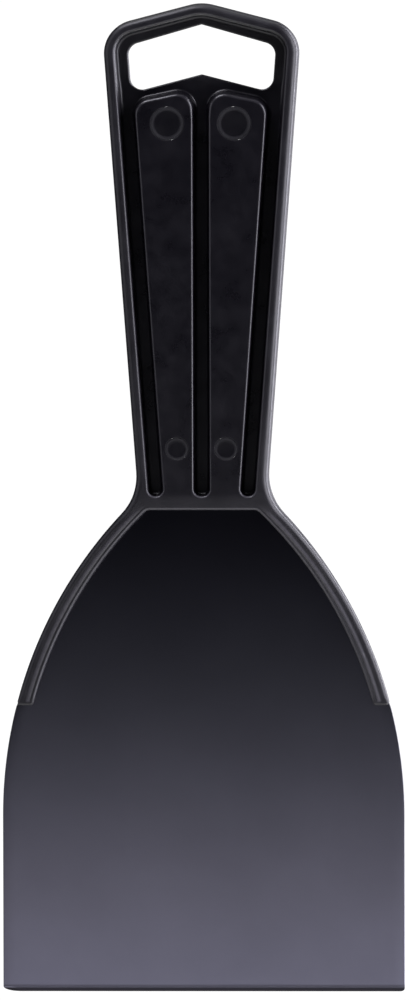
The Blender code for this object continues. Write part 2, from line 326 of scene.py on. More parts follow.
def both_sides(right):
    """Corners given up the right side, closed by the same corners down the left."""
    left = [(-corner[0], *corner[1:]) for corner in reversed(right)]
    return list(right) + [corner for corner in left if abs(corner[0]) > 1e-6]


def subdivided(points, longest=LINE_STEP):
    """The closed outline with its long straight runs cut into even steps."""
    cut = []
    for i, start in enumerate(points):
        end = points[(i + 1) % len(points)]
        span = math.dist(start, end)
        steps = max(1, round(span / longest))
        for k in range(steps):
            share = k / steps
            cut.append((start[0] + (end[0] - start[0]) * share, start[1] + (end[1] - start[1]) * share))
    return np.array(cut)


def handle_outline():
    """The handle from in front: roof-shaped end, tapered sides, hollow neck and two arms."""
    corner = line_meeting(ROOF_SLOPE, ROOF_APEX, SIDE_SLOPE, handle_side())
    band_end = (shoulder_x(BAND_BOTTOM, ARM_WIDTH), BAND_BOTTOM)
    neck = neck_fillet()
    inner_arc = shoulder_arc(ARM_END, BAND_BOTTOM, ARM_WIDTH)[2:-2]
    outer_arc = shoulder_arc(ARM_END, neck[0][1])[2:-1]
    right = [(*band_end, BAND_CORNER)]
    right += [(x, z, 0) for x, z in reversed(inner_arc)]
    right.append((shoulder_x(ARM_END, ARM_WIDTH), ARM_END, ARM_END_CORNER))
    right.append((shoulder_x(ARM_END), ARM_END, ARM_END_CORNER))
    right += [(x, z, 0) for x, z in outer_arc + neck]
    right += [(*corner, SHOULDER_CORNER), (0, ROOF_APEX, ROOF_APEX_RADIUS)]
    return subdivided(rounded(both_sides(right)))


def recess_outline():
    """The sunk area round the hang hole, with its three channels down between rim and pads."""
    roof = ROOF_APEX - RIM_WIDTH * math.hypot(1, ROOF_SLOPE)
    corner = line_meeting(ROOF_SLOPE, roof, SIDE_SLOPE, handle_side(RIM_WIDTH))
    pad_corner = line_meeting(PAD_TOP_SLOPE, PAD_TOP, PAD_SIDE_SLOPE, PAD_SIDE_AT_EDGE)
    pad_foot = PAD_SIDE_AT_EDGE + PAD_SIDE_SLOPE * CHANNEL_BOTTOM
    right = [
        (PAD_INNER_EDGE, CHANNEL_BOTTOM, CHANNEL_END_RADIUS),
        (PAD_INNER_EDGE, PAD_TOP - PAD_TOP_SLOPE * PAD_INNER_EDGE, PAD_INNER_CORNER),
        (*pad_corner, PAD_OUTER_CORNER),
        (pad_foot, CHANNEL_BOTTOM, CHANNEL_END_RADIUS),
        (side_x(CHANNEL_BOTTOM, RIM_WIDTH), CHANNEL_BOTTOM, CHANNEL_END_RADIUS),
        (*corner, RECESS_CORNER),
        (0, roof, ROOF_APEX_RADIUS - RIM_WIDTH),
    ]
    return subdivided(rounded(both_sides(right)))


def hole_outline():
    """The hang hole, with a roof-shaped top and bottom."""
    bottom = line_meeting(HOLE_BOTTOM_SLOPE, HOLE_BOTTOM, SIDE_SLOPE, HOLE_SIDE_AT_EDGE)
    top = line_meeting(HOLE_TOP_SLOPE, HOLE_TOP, SIDE_SLOPE, HOLE_SIDE_AT_EDGE)
    right = [
        (0, HOLE_BOTTOM, HOLE_APEX_RADIUS),
        (*bottom, HOLE_CORNER),
        (*top, HOLE_CORNER),
        (0, HOLE_TOP, HOLE_APEX_RADIUS),
    ]
    return subdivided(rounded(both_sides(right)))


def pin_places():
    """(name, x, z, radius) of each pin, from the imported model, in millimetres."""
    places = []
    for name in PIN_NODES:
        low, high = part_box(name)
        middle = (low + high) / 2
        places.append((name, middle.x / MM, (middle.z - EDGE_Z) / MM, (high.x - low.x) / 2 / MM))
    return places


def circle(x, z, radius):
    angles = np.arange(PIN_SIDES) * math.tau / PIN_SIDES
    return np.column_stack((x + radius * np.cos(angles), z + radius * np.sin(angles)))


# ---------------------------------------------------------------- heights

def rise(value, low, high):
    """0 below low, 1 above high and a smooth climb between."""
    share = np.clip((np.asarray(value, float) - low) / (high - low), 0, 1)
    return share * share * (3 - 2 * share)


def half_thickness(z):
    """From the middle of the blade to the handle's face at height z."""
    z = np.asarray(z, float)
    arm_share = np.clip((z - ARM_END) / (RAMP_BOTTOM - ARM_END), 0, 1)
    arm = ARM_HALF_END + (ARM_HALF_TOP - ARM_HALF_END) * arm_share
    grip = GRIP_HALF - GRIP_CROWN * ((z - GRIP_MIDDLE) / GRIP_REACH) ** 2
    return arm + (grip - arm) * rise(z, RAMP_BOTTOM, RAMP_TOP)


def across_arm(x, z):
    """How far each point is from its arm's inner edge, towards the blade's edge."""
    reach = np.hypot(np.abs(x) - SHOULDER_CENTRE[0], z - SHOULDER_CENTRE[1])
    return reach - (SHOULDER_RADIUS - ARM_WIDTH)


def face_height(points):
    """The handle's front face: the grip, and on each arm a ridge beside a lower outer strip."""
    x, z = points.T
    across = across_arm(x, z)
    strip = STRIP_DROP * rise(across, RIDGE_EDGE, STRIP_EDGE)
    crease = CREASE_DEPTH * np.exp(-((across - CREASE) / CREASE_REACH) ** 2)
    return half_thickness(z) - (strip + crease) * (1 - rise(z, *RIDGE_FADE))


def arm_guides():
    """Lines up both arms that the face's mesh follows, so that the ridge stays sharp."""
    arcs = [shoulder_arc(ARM_END + 1.0, RIDGE_FADE[1], ARM_WIDTH - across) for across in ARM_GUIDES]
    return [np.array(arc) * (side, 1) for arc in arcs for side in (-1, 1)]


def inward_normals(points):
    """The unit normal at each point of a closed outline, towards its inside, mitred."""
    ahead = np.roll(points, -1, axis=0) - points
    ahead /= np.linalg.norm(ahead, axis=1, keepdims=True)
    behind = np.roll(ahead, 1, axis=0)
    x, z = points.T
    turning = np.sign(np.sum(x * np.roll(z, -1) - np.roll(x, -1) * z))
    normals = []
    for edge in (ahead, behind):
        normals.append(np.column_stack((-edge[:, 1], edge[:, 0])) * turning)
    mitre = normals[0] + normals[1]
    return 2 * mitre / np.sum(mitre * mitre, axis=1, keepdims=True)


# ---------------------------------------------------------------- mesh building

class Skin:
    """Vertices and faces of one moulded half, given as rings, bands between rings, and fills."""

    def __init__(self):
        self.points = []
        self.faces = []
        # Each point's share of the painted highlight that lightens the plastic's colour
        self.painted_highlight = []

    def ring(self, outline, depth, painted_highlight=0.0):
        """A ring of points with an (x, z) outline at the given depth in front of the blade."""
        first = len(self.points)
        depth = np.broadcast_to(depth, len(outline))
        self.points += [(x, -d, z) for (x, z), d in zip(outline, depth)]
        self.painted_highlight += [float(share) for share in np.broadcast_to(painted_highlight, len(outline))]
        return list(range(first, len(self.points)))

    def bands(self, rings):
        for a, b in zip(rings, rings[1:]):
            for i in range(len(a)):
                k = (i + 1) % len(a)
                self.faces.append((a[i], a[k], b[k], b[i]))

    def flat(self, index):
        return np.array([(self.points[i][0], self.points[i][2]) for i in index])

    def fill(self, border, holes, height, spacing, guides=()):
        """Triangles between a border ring and hole rings, along the guides where there are any."""
        loops = [border, *holes]
        index = [i for loop in loops for i in loop]
        edges, start = [], 0
        for loop in loops:
            count = len(loop)
            edges += [(start + i, start + (i + 1) % count) for i in range(count)]
            start += count
        for guide in guides:
            kept = clear_start(guide, [self.flat(loop) for loop in loops])
            edges += [(start + i, start + i + 1) for i in range(len(kept) - 1)]
            index += self.ring(kept, height(kept), arm_painted_highlight(kept))
            start += len(kept)
        corners = self.flat(index)
        extra = inner_points([self.flat(loop) for loop in loops], corners, spacing)
        index += self.ring(extra, height(extra), arm_painted_highlight(extra))
        everything = [Vector(p) for p in np.vstack((corners, extra))]
        made = geometry.delaunay_2d_cdt(everything, edges, [], TRIANGLES_INSIDE, 1e-7)
        back = [sources[0] for sources in made[3]]
        triangles = np.array([[back[i] for i in face] for face in made[2]])
        middles = np.vstack((corners, extra))[triangles].mean(axis=1)
        solid = inside(middles, self.flat(border))
        for hole in holes:
            solid &= ~inside(middles, self.flat(hole))
        self.faces += [tuple(index[i] for i in face) for face in triangles[solid]]

    def mesh(self, name, side):
        """The mesh at full size: side is -1 for the front half, +1 for the mirrored rear half."""
        points = [(x * MM, -side * y * MM, z * MM + EDGE_Z) for x, y, z in self.points]
        mesh = bpy.data.meshes.new(name)
        mesh.from_pydata(points, [], self.faces)
        # One mark sets where a painted highlight lightens the colour, the other marks the rim.
        marks = {"painted_highlight": self.painted_highlight, "rim": rim_share(np.array(self.points))}
        for mark, shares in marks.items():
            mesh.attributes.new(mark, "FLOAT", "POINT").data.foreach_set("value", shares)
        return tidied(mesh)


def arm_painted_highlight(points):
    """How strongly each arm's face is lightened by a painted highlight: along its ridge, and not where the
    ridge has faded out.
    """
    x, z = points.T
    across = across_arm(x, z)
    climb = rise(across, CREASE, RIDGE_EDGE - RIDGE_MARGIN)
    fall = rise(across, RIDGE_EDGE + RIDGE_MARGIN, STRIP_EDGE - RIDGE_MARGIN)
    return RIDGE_HIGHLIGHT * climb * (1 - fall) * (1 - rise(z, *RIDGE_FADE))


def rim_share(points):
    """1 on the textured rim, band, arms and bore rims, 0 on the smoother pads and in the channels."""
    x, _, z = points.T
    from_side = side_x(z) - np.abs(x)
    grip = rise(from_side, RIM_WIDTH, RIM_WIDTH + 1) * rise(z, *BAND_FADE)
    for _, pin_x, pin_z, radius in pin_places():
        grip *= rise(np.hypot(x - pin_x, z - pin_z) - radius, *BORE_RIM)
    return 1 - grip * (1 - rise(z, PAD_TOP, HOLE_BOTTOM))


def clear_start(line, loops):
    """The line from its start to where it comes near the first loop's border or another loop."""
    clear = inside(line, loops[0]) & ~np.any([inside(line, loop) for loop in loops[1:]], axis=0)
    for loop in loops:
        clear &= clearance(line, loop) > GUIDE_MARGIN
    return line if clear.all() else line[:np.argmin(clear)]


def clearance(points, loop):
    """Each point's distance to a closed loop."""
    run = np.roll(loop, -1, axis=0) - loop
    away = points[:, None] - loop
    share = np.clip(np.sum(away * run, axis=2) / np.sum(run * run, axis=1), 0, 1)
    return np.linalg.norm(away - share[..., None] * run, axis=2).min(axis=1)


def inside(points, loop):
    """Which points lie inside a closed loop."""
    x, z = points[:, 0:1], points[:, 1:2]
    ax, az = loop[:, 0], loop[:, 1]
    bx, bz = np.roll(ax, -1), np.roll(az, -1)
    crosses = (az > z) != (bz > z)
    with np.errstate(divide="ignore", invalid="ignore"):
        at = ax + (z - az) * (bx - ax) / (bz - az)
    return np.sum(crosses & (x < at), axis=1) % 2 == 1


def inner_points(loops, corners, spacing):
    """A triangular grid of points inside the first loop and outside the others, clear of all."""
    low, high = loops[0].min(0), loops[0].max(0)
    rows = np.arange(low[1], high[1], spacing * math.sqrt(0.75))
    columns = np.arange(low[0], high[0], spacing)
    grid = np.array([(x + (i % 2) * spacing / 2, z) for i, z in enumerate(rows) for x in columns])
    keep = inside(grid, loops[0])
    for hole in loops[1:]:
        keep &= ~inside(grid, hole)
    grid = grid[keep]
    tree = kdtree.KDTree(len(corners))
    for i, (x, z) in enumerate(corners):
        tree.insert((x, z, 0), i)
    tree.balance()
    clear = [tree.find((x, z, 0))[2] > GRID_CLEAR * spacing for x, z in grid]
    return grid[np.array(clear, bool)]


def tidied(mesh):
    work = bmesh.new()
    work.from_mesh(mesh)
    bmesh.ops.recalc_face_normals(work, faces=work.faces)
    work.to_mesh(mesh)
    work.free()
    mesh.shade_smooth()
    return mesh


def piece(name, mesh, material):
    made = bpy.data.objects.new(name, mesh)
    mesh.materials.clear()
    mesh.materials.append(material)
    bpy.context.scene.collection.objects.link(made)
    return made


def quarter(radius, steps=ROUND_STEPS):
    """(inset, drop) along a quarter round, from a wall's top to the face it turns into."""
    turns = [math.pi / 2 * i / steps for i in range(steps + 1)]
    return [(radius * (1 - math.cos(a)), radius * (1 - math.sin(a))) for a in turns]


def on_the_turn(inset):
    """How much of an edge's painted highlight lies this far round it: none at both ends, most at its
    middle.
    """
    return math.sin(math.pi * inset) ** 0.5 if 0 < inset < 1 else 0.0


# ---------------------------------------------------------------- handle halves

def outer_wall(skin):
    """The wall round the whole half, from its back to the face's border ring."""
    outline = handle_outline()
    inward = inward_normals(outline)
    x, z = outline.T
    on_inner_edge = (z < INNER_EDGE_TOP) & (across_arm(x, z) < ARM_WIDTH / 2)
    on_end = z < END_WALL_TOP
    outer_rounding = ARM_ROUNDING + (OUTER_ROUNDING - ARM_ROUNDING) * rise(z, *NECK_ROUNDING)
    rounding = np.where(on_inner_edge, INNER_ROUNDING, outer_rounding)
    end_share = 1 - rise(z, ARM_END, END_ROUNDING_TOP)
    rounding = rounding + (END_ROUNDING - rounding) * end_share
    outer_seat = ARM_SEAT + (PARTING_HALF - ARM_SEAT) * rise(z, *NECK_SEAT)
    seat = np.where(on_inner_edge, ARM_SEAT, outer_seat)
    outer_lip = ARM_LIP + (GRIP_LIP - ARM_LIP) * rise(z, *NECK_LIP)
    lip = np.where(on_inner_edge | on_end, ARM_LIP, outer_lip)

    def placed(inset):
        return outline + inward * np.reshape(inset, (-1, 1))

    draft = DRAFT * (half_thickness(z) - seat)
    top_inset = draft + rounding
    face = face_height(placed(top_inset))
    rings = [
        skin.ring(placed(lip), BACK_HALF),
        skin.ring(placed(lip), np.minimum(seat, BACK_HALF - BACK_STEP)),
        skin.ring(placed(SEAT_EASE), seat),
        skin.ring(placed(0), seat + SEAT_EASE),
        skin.ring(placed(WALL_DRAFT_SHARE * draft), face - rounding - WALL_STEP),
    ]
    # Paler colour round the arms' inner edges, peaking half-way round the rounding, is a painted highlight.
    painted_highlight = np.where(on_inner_edge, EDGE_HIGHLIGHT, 0.0) * (1 - end_share)
    for inset, drop in quarter(1.0, OUTER_ROUND_STEPS):
        place = placed(draft + rounding * inset)
        rings.append(skin.ring(place, face - rounding * drop, painted_highlight * on_the_turn(inset)))
    border = placed(top_inset + RING_STEP)
    rings.append(skin.ring(border, face_height(border)))
    skin.bands(rings)
    return rings[0], rings[-1]


def recess_walls(skin):
    """The wall from the face down to the web. Returns its ring on the face and on the web."""
    outline = recess_outline()
    outward = -inward_normals(outline)
    z = outline[:, 1]

    def placed(grow):
        return outline + outward * np.reshape(grow, (-1, 1))

    depth = half_thickness(z) - WEB_HALF
    below_top = 1 - rise(z, *PAD_TOP_FALL)
    draft = RECESS_DRAFT * depth + PAD_TOP_LEAN * rise(z, *PAD_LEAN_RISE) * below_top
    # Paler colour round the recess edges, strongest at the channels' ends, is a painted highlight.
    painted_highlight = CHANNEL_HIGHLIGHT + (EDGE_HIGHLIGHT - CHANNEL_HIGHLIGHT) * (1 - rise(z, *CHANNEL_END))
    on_pad = rise(side_x(z) - np.abs(outline[:, 0]), *PAD_FROM_SIDE)
    rounding = RECESS_ROUNDING + PAD_TOP_EXTRA_ROUNDING * on_pad * rise(z, *PAD_ROUND_RISE) * below_top
    edge = placed(rounding + FACE_STEP)
    rings = [skin.ring(edge, face_height(edge))]
    face = face_height(placed(rounding))
    for inset, drop in reversed(quarter(1.0)):
        place = placed(rounding * inset)
        rings.append(skin.ring(place, face - rounding * drop, painted_highlight * on_the_turn(inset)))
    rings.append(skin.ring(placed(-RECESS_WALL_LEAN), face - rounding - RECESS_WALL_STEP))
    for inset, drop in quarter(WEB_FILLET, FILLET_STEPS):
        rings.append(skin.ring(placed(-draft - inset), WEB_HALF + drop))
    rings.append(skin.ring(placed(-draft - WEB_FILLET - RING_STEP), WEB_HALF))
    skin.bands(rings)
    return rings[0], rings[-1]


def hole_walls(skin):
    """The hang hole's wall. Returns its ring on the web and on the back."""
    outline = hole_outline()
    outward = -inward_normals(outline)

    def placed(grow):
        return outline + outward * grow

    rings = [skin.ring(placed(HOLE_ROUNDING + RING_STEP), WEB_HALF)]
    for inset, drop in reversed(quarter(HOLE_ROUNDING)):
        rings.append(skin.ring(placed(inset), WEB_HALF - drop))
    rings.append(skin.ring(placed(0), PARTING_HALF + WALL_STEP))
    rings.append(skin.ring(placed(WALL_STEP), PARTING_HALF))
    rings.append(skin.ring(placed(HOLE_LIP), PARTING_HALF))
    rings.append(skin.ring(placed(HOLE_LIP), BACK_HALF))
    skin.bands(rings)
    return rings[0], rings[-1]


def pin_bore(skin, x, z, radius):
    """One pin's bore through the half. Returns its ring on the face and on the back."""
    rings = []
    for grow, drop in BORE_RINGS:
        ring = circle(x, z, radius + grow)
        rings.append(skin.ring(ring, face_height(ring) - drop))
    rings.append(skin.ring(circle(x, z, radius + BORE_GAP), BACK_HALF))
    skin.bands(rings)
    return rings[0], rings[-1]


def handle_half_mesh(name, side):
    """One half of the handle: its walls and bores, with its face, web and back filled between."""
    skin = Skin()
    outer_back, outer_face = outer_wall(skin)
    recess_face, recess_web = recess_walls(skin)
    hole_web, hole_back = hole_walls(skin)
    bores = [pin_bore(skin, x, z, radius) for _, x, z, radius in pin_places()]
    skin.fill(outer_face, [recess_face, *(face for face, _ in bores)], face_height, FILL_STEP, arm_guides())
    skin.fill(recess_web, [hole_web], lambda p: np.full(len(p), WEB_HALF), 3 * FILL_STEP)
    backs = [hole_back, *(back for _, back in bores)]
    skin.fill(outer_back, backs, lambda p: np.full(len(p), BACK_HALF), 3 * FILL_STEP)
    return skin.mesh(name, side)


# ---------------------------------------------------------------- pins

def pin_mesh(name, x, z, radius):
    """A turned pin along Y, with softly rounded rims and slightly dished ends."""
    height = float(half_thickness(z)) - PIN_SINK
    rim_radius = radius - PIN_RIM
    section = [(0.0, height + PIN_DISH[0][1])]
    section += [(rim_radius - inset, height + dish) for inset, dish in PIN_DISH]
    section += [(radius - inset, height - drop) for inset, drop in reversed(quarter(PIN_RIM))]
    section += [(r, -y) for r, y in reversed(section)]
    points, faces = [], []
    for r, y in section[1:-1]:
        ring = circle(x, z, r)
        points += [(px * MM, y * MM, pz * MM + EDGE_Z) for px, pz in ring]
    rows = len(section) - 2
    for row in range(rows - 1):
        for i in range(PIN_SIDES):
            k = (i + 1) % PIN_SIDES
            a, b = row * PIN_SIDES, (row + 1) * PIN_SIDES
            faces.append((a + i, a + k, b + k, b + i))
    for y, row in ((section[0][1], 0), (section[-1][1], rows - 1)):
        centre, first = len(points), row * PIN_SIDES
        points.append((x * MM, y * MM, z * MM + EDGE_Z))
        faces += [(centre, first + i, first + (i + 1) % PIN_SIDES) for i in range(PIN_SIDES)]
    mesh = bpy.data.meshes.new(name)
    mesh.from_pydata(points, [], faces)
    return tidied(mesh)


# ---------------------------------------------------------------- blade

def blade_half_width(z, side):
    """Half the blade's width at height z, on the side -1 or +1."""
    if z <= SHOULDER_START:
        corner_height, corner_width = LEFT_CORNER if side < 0 else RIGHT_CORNER
        low = max(0.0, 1 - z / corner_height)
        return BLADE_HALF_WIDTH - corner_width * (1 - math.sqrt(1 - low * low))
    if z <= FLEX_LINE:
        return shoulder_x(z)
    if z <= SHOULDER_TOP:
        return shoulder_x(z, TANG_EDGE_SETBACK * min(1.0, (z - FLEX_LINE) / SETBACK_RUN))
    if z <= TANG_ROOT:
        share = (z - SHOULDER_TOP) / (TANG_ROOT - SHOULDER_TOP)
        root = shoulder_x(SHOULDER_TOP, TANG_EDGE_SETBACK)
        return root + (TANG_HALF_WIDTH - root) * share
    if z <= TANG_NECK:
        return TANG_HALF_WIDTH
    share = (z - TANG_NECK) / (TANG_TOP - TANG_NECK)
    width = TANG_HALF_WIDTH + (TANG_TIP_HALF_WIDTH - TANG_HALF_WIDTH) * share
    high = max(0.0, (z - (TANG_TOP - TANG_CORNER)) / TANG_CORNER)
    return width - TANG_CORNER * (1 - math.sqrt(max(0.0, 1 - high * high)))


def blade_rows():
    """Heights of the blade's cross-sections: close where its outline or thickness turns."""
    body = np.arange(BODY_START, SHOULDER_START, BODY_STEP)
    shoulder = np.arange(SHOULDER_START, SHOULDER_TOP, SHOULDER_STEP)
    kinks = [height + step for height in (SHOULDER_TOP, TANG_ROOT) for step in (-KINK, 0, KINK)]
    tang = np.arange(TANG_NECK, TANG_TOP - TANG_CORNER, TANG_STEP)
    turns = np.linspace(0, math.pi / 2, TIP_ROWS)
    tip = [TANG_TOP - TANG_CORNER * (1 - math.sin(a)) for a in turns]
    rows = [*EDGE_ROWS, *body, *shoulder, *kinks, TAPER_ROW, *tang, *tip]
    return sorted(set(round(float(z), 4) for z in rows))


def blade_half(z):
    """Half the blade's thickness: even down to the ground edge, which rounds over at its end."""
    if z >= EDGE_BEVEL_HEIGHT:
        return BLADE_HALF
    share = 1 - z / EDGE_BEVEL_HEIGHT
    return EDGE_HALF + (BLADE_HALF - EDGE_HALF) * (1 - share ** EDGE_BEVEL_CURVE)


def blade_mesh(name):
    """The whole steel piece, lofted from its working edge up to the end of the tang."""
    columns = np.linspace(-1, 1, BLADE_COLUMNS)
    points, rows = [], blade_rows()
    for z in rows:
        half = blade_half(z)
        ease = min(BLADE_EASE, THIN_EASE_SHARE * half)
        left, right = blade_half_width(z, -1), blade_half_width(z, 1)
        turn = ease * EASE_TURN
        across = [s * ((right if s > 0 else left) - ease) for s in columns]
        front = [(x, -half) for x in across]
        side = [(right - turn, turn - half), (right, ease - half)]
        side += [(x, -y) for x, y in reversed(side)]
        rear = [(x, half) for x in reversed(across)]
        other = [(turn - left, half - turn), (-left, half - ease)]
        other += [(x, -y) for x, y in reversed(other)]
        for x, y in front + side + rear + other:
            points.append((x * MM, y * MM, z * MM + EDGE_Z))
    count = 2 * (len(columns) + SIDE_POINTS)
    faces = []
    for row in range(len(rows) - 1):
        a, b = row * count, (row + 1) * count
        for i in range(count):
            k = (i + 1) % count
            faces.append((a + i, a + k, b + k, b + i))
    faces += cap_faces(0, len(columns)) + cap_faces((len(rows) - 1) * count, len(columns))
    mesh = bpy.data.meshes.new(name)
    mesh.from_pydata(points, [], faces)
    return tidied(mesh)


def cap_faces(start, columns):
    """Faces across one cross-section ring: front columns, side points, rear columns, side points."""
    front = [start + i for i in range(columns)]
    rear = [start + columns + SIDE_POINTS + i for i in range(columns)]
    faces = []
    for i in range(columns - 1):
        faces.append((front[i], front[i + 1], rear[columns - 2 - i], rear[columns - 1 - i]))
    right = [start + columns + i for i in range(SIDE_POINTS)]
    left = [start + 2 * columns + SIDE_POINTS + i for i in range(SIDE_POINTS)]
    faces.append((front[-1], *right, rear[0]))
    faces.append((rear[-1], *left, front[0]))
    return faces


def bored(blade):
    """The blade with its two holes for the lower pins."""
    for name, x, z, radius in pin_places():
        if z > TANG_TOP:
            continue
        drill = bpy.data.meshes.new(f"{name}_drill")
        work = bmesh.new()
        bore = (radius + DRILL_GAP) * MM
        bmesh.ops.create_cone(
            work, cap_ends=True, segments=PIN_SIDES, radius1=bore, radius2=bore, depth=DRILL_DEPTH * MM)
        work.to_mesh(drill)
        work.free()
        cutter = bpy.data.objects.new(f"{name}_drill", drill)
        cutter.rotation_euler.x = math.pi / 2
        cutter.location = (x * MM, 0, z * MM + EDGE_Z)
        bpy.context.scene.collection.objects.link(cutter)
        step = blade.modifiers.new(name, "BOOLEAN")
        step.object = cutter
        step.solver = "EXACT"
        bpy.context.view_layer.update()
        evaluated = blade.evaluated_get(bpy.context.evaluated_depsgraph_get())
        mesh = bpy.data.meshes.new_from_object(evaluated)
        blade.modifiers.clear()
        blade.data = mesh
        bpy.data.objects.remove(cutter)
        bpy.data.meshes.remove(drill)
    blade.data.shade_smooth()
    return blade


# ---------------------------------------------------------------- materials

def new_material(name):
    made = bpy.data.materials.new(name)
    made.use_nodes = True
    return made, made.node_tree, made.node_tree.nodes["Principled BSDF"]


def add(tree, kind, **values):
    node = tree.nodes.new(kind)
    for key, value in values.items():
        if key in node.inputs:
            node.inputs[key].default_value = value
        else:
            setattr(node, key, value)
    return node


def noise(tree, coords, scale, detail=4.0, roughness=0.55):
    made = add(tree, "ShaderNodeTexNoise", Scale=scale, Detail=detail, Roughness=roughness)
    tree.links.new(coords, made.inputs["Vector"])
    return made.outputs["Fac"]


def spread(tree, value, low, high, from_low=0.0, from_high=1.0):
    made = add(tree, "ShaderNodeMapRange")
    made.inputs["From Min"].default_value = from_low
    made.inputs["From Max"].default_value = from_high
    made.inputs["To Min"].default_value = low
    made.inputs["To Max"].default_value = high
    tree.links.new(value, made.inputs["Value"])
    return made.outputs["Result"]


def stretched(tree, coords, scale):
    made = add(tree, "ShaderNodeMapping")
    made.inputs["Scale"].default_value = scale
    tree.links.new(coords, made.inputs["Vector"])
    return made.outputs["Vector"]


def blend_colours(tree, share, first, second):
    """A mix of two colours, each an output or three numbers, through the Mix node's colour sockets."""
    made = add(tree, "ShaderNodeMix", data_type="RGBA")
    for socket, colour in ((made.inputs[6], first), (made.inputs[7], second)):
        if isinstance(colour, tuple):
            socket.default_value = (*colour, 1)
        else:
            tree.links.new(colour, socket)
    tree.links.new(share, made.inputs[0])
    return made.outputs[2]


def bump(tree, shader, heights):
    """Chains bumps: each is (height output, strength, distance in metres)."""
    normal = None
    for height, strength, distance in heights:
        made = add(tree, "ShaderNodeBump", Strength=strength, Distance=distance)
        tree.links.new(height, made.inputs["Height"])
        if normal is not None:
            tree.links.new(normal, made.inputs["Normal"])
        normal = made.outputs["Normal"]
    tree.links.new(normal, shader.inputs["Normal"])


def attribute(tree, name):
    return add(tree, "ShaderNodeAttribute", attribute_type="GEOMETRY", attribute_name=name).outputs["Fac"]


def product(tree, first, second):
    made = add(tree, "ShaderNodeMath", operation="MULTIPLY")
    tree.links.new(first, made.inputs[0])
    tree.links.new(second, made.inputs[1])
    return made.outputs[0]


def blend_values(tree, share, first, second):
    """A mix of two value outputs."""
    made = add(tree, "ShaderNodeMix", data_type="FLOAT")
    for socket, value in zip(made.inputs, (share, None, first, second)):
        if value is not None:
            tree.links.new(value, socket)
    return made.outputs[0]


def handle_plastic(name):
    """Black moulded plastic: satin pads, a rougher rim made greyer by a painted sheen, and edges made paler
    by a painted highlight.
    """
    made, tree, shader = new_material(name)
    coords = add(tree, "ShaderNodeTexCoord").outputs["Object"]
    cloud = noise(tree, coords, 220.0, 6.0, 0.65)
    grain = noise(tree, coords, 2600.0, 2.0)
    speckle = noise(tree, coords, 900.0, 3.0)
    rim, painted_highlight = attribute(tree, "rim"), attribute(tree, "painted_highlight")
    clouded = spread(tree, cloud, 0, 1, 0.35, 0.65)
    pad_colour = blend_colours(tree, clouded, (0.0016, 0.0014, 0.0025), (0.0028, 0.0025, 0.0041))
    # The rim's colour is black plastic lightened by a painted sheen, so it is paler than the pads.
    rim_colour_and_painted_sheen = blend_colours(tree, clouded, (0.0032, 0.0029, 0.0044), (0.0056, 0.0052, 0.0074))
    colour = blend_colours(tree, rim, pad_colour, rim_colour_and_painted_sheen)
    # The pale grey mixed in along edges, ridges and channel ends is a painted highlight, broken up by
    # speckle noise.
    painted_highlight_speckled = product(tree, painted_highlight, spread(tree, speckle, 0.75, 1.0, 0.35, 0.6))
    colour = blend_colours(tree, painted_highlight_speckled, colour, (0.045, 0.043, 0.050))
    tree.links.new(colour, shader.inputs["Base Color"])
    pad_rough = spread(tree, cloud, 0.25, 0.36, 0.3, 0.7)
    rim_rough = spread(tree, cloud, 0.38, 0.48, 0.3, 0.7)
    tree.links.new(blend_values(tree, rim, pad_rough, rim_rough), shader.inputs["Roughness"])
    shader.inputs["Specular IOR Level"].default_value = 0.32
    bump(tree, shader, [(cloud, 0.12, 0.0002), (grain, 0.3, 0.00003)])
    return made


def pin_plastic(name):
    """Like the pads, with a slightly paler ring round each pin's end, a painted highlight."""
    made, tree, shader = new_material(name)
    places = add(tree, "ShaderNodeTexCoord")
    from_axis = add(tree, "ShaderNodeVectorMath", operation="MULTIPLY_ADD")
    tree.links.new(places.outputs["Generated"], from_axis.inputs[0])
    from_axis.inputs[1].default_value = (2, 0, 2)
    from_axis.inputs[2].default_value = (-1, 0, -1)
    radius = add(tree, "ShaderNodeVectorMath", operation="LENGTH")
    tree.links.new(from_axis.outputs["Vector"], radius.inputs[0])
    ring = spread(tree, radius.outputs["Value"], 0, 1, 0.74, 0.86)
    grain = noise(tree, places.outputs["Object"], 2600.0, 2.0)
    cloud = noise(tree, places.outputs["Object"], 300.0, 4.0)
    # The paler ring colour round each pin's end is a painted highlight.
    painted_highlight_ring_colour = blend_colours(tree, cloud, (0.0042, 0.0040, 0.0054), (0.0096, 0.0093, 0.0114))
    colour = blend_colours(tree, ring, (0.0015, 0.0013, 0.0024), painted_highlight_ring_colour)
    tree.links.new(colour, shader.inputs["Base Color"])
    middle_rough = spread(tree, cloud, 0.28, 0.36, 0.3, 0.7)
    ring_rough = spread(tree, cloud, 0.42, 0.5, 0.3, 0.7)
    tree.links.new(blend_values(tree, ring, middle_rough, ring_rough), shader.inputs["Roughness"])
    shader.inputs["Specular IOR Level"].default_value = 0.32
    bump(tree, shader, [(grain, 0.3, 0.00003)])
    return made


